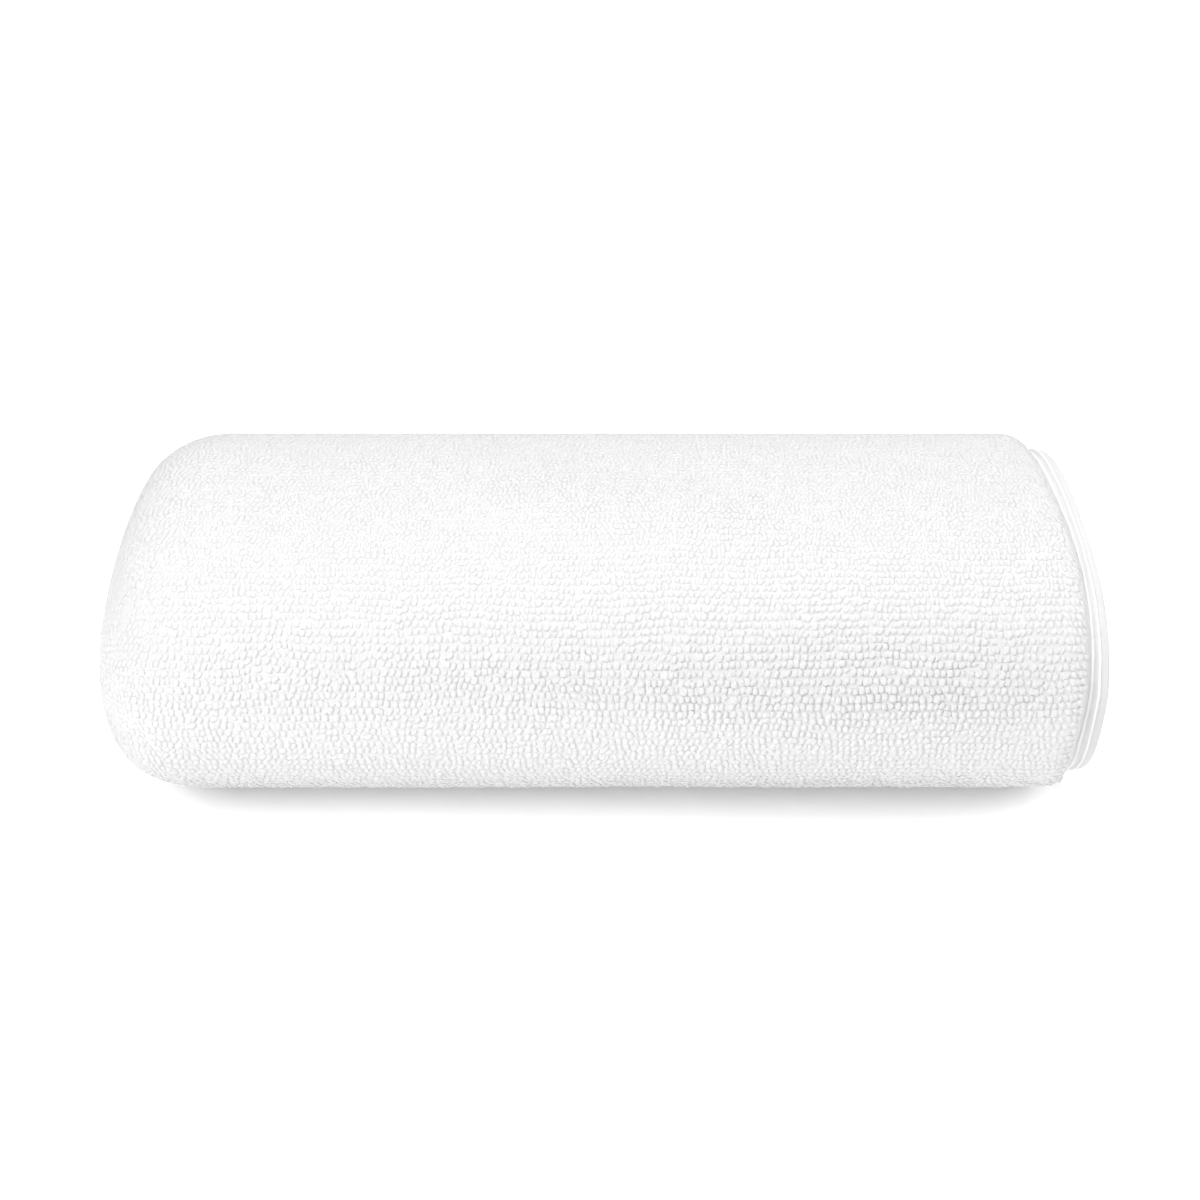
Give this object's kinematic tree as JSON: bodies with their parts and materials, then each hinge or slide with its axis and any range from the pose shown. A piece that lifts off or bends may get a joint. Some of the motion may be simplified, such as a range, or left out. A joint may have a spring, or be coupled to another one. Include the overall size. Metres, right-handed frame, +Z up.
{
  "type": "rolled bath mat",
  "caption": "White cotton terry bath mat, folded in half along its length and rolled up into a soft, slightly flattened roll.",
  "frame": {"origin": "centre of the base of the roll's bounding box, on the surface that it lies on", "axes": "+X along the roll, from its folded end to the end with the side hems; +Z up; the front is towards -Y and the loose end is down the back, towards +Y"},
  "size_m": [0.2578, 0.1312, 0.0788],
  "materials": {
    "white_terry": "soft looped cotton pile, matte, with flat-woven hems"
  },
  "bodies": {
    "root": {"rolled_mat": "white_terry"}
  },
  "joints": []
}
